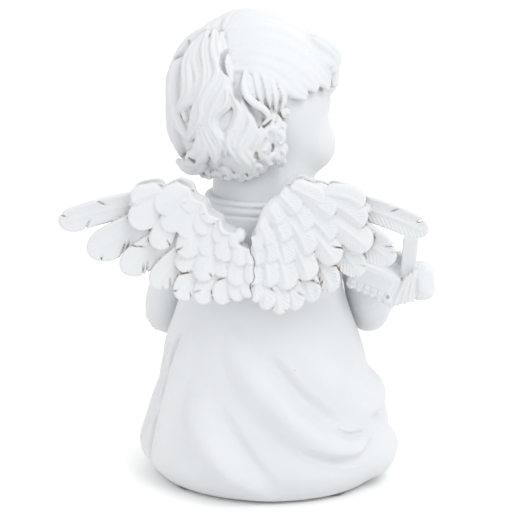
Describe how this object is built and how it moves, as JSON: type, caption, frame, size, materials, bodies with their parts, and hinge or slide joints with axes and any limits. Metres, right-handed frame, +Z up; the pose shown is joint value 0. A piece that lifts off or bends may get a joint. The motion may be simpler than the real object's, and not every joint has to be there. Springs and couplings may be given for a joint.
{
  "type": "resin angel figurine",
  "caption": "Seated cast resin cherub with spread feathered wings, long draped robe and curly hair, looking aside at a small squeezebox held up in one hand.",
  "frame": {"origin": "middle of the flat underside of the robe, where the figurine stands", "axes": "+Z up; the seated body faces -Y, its wings are on the +Y side and its right hand is on the -X side"},
  "size_m": [0.1444, 0.1207, 0.1992],
  "materials": {
    "robe_paint": "matt white paint over cast resin",
    "head_paint": "matt white paint over cast resin",
    "wing_paint": "matt white paint over cast resin, bare resin in the deepest grooves",
    "instrument_paint": "matt white paint over cast resin",
    "wooden_dowel": "plain turned beech",
    "steel_pins": "plain drawn wire",
    "plug_rubber": "matt moulded",
    "grey_felt": "pressed felt"
  },
  "bodies": {
    "root": {"robe_body": "robe_paint", "head": "head_paint", "neck_dowel": "wooden_dowel", "left_wing": "wing_paint", "right_wing": "wing_paint", "wing_pins": "steel_pins", "left_arm": "robe_paint", "right_arm": "robe_paint", "squeezebox": "instrument_paint", "hand_pin": "steel_pins", "left_foot": "robe_paint", "right_foot": "robe_paint", "base_plug": "plug_rubber", "felt_pads": "grey_felt"}
  },
  "joints": []
}
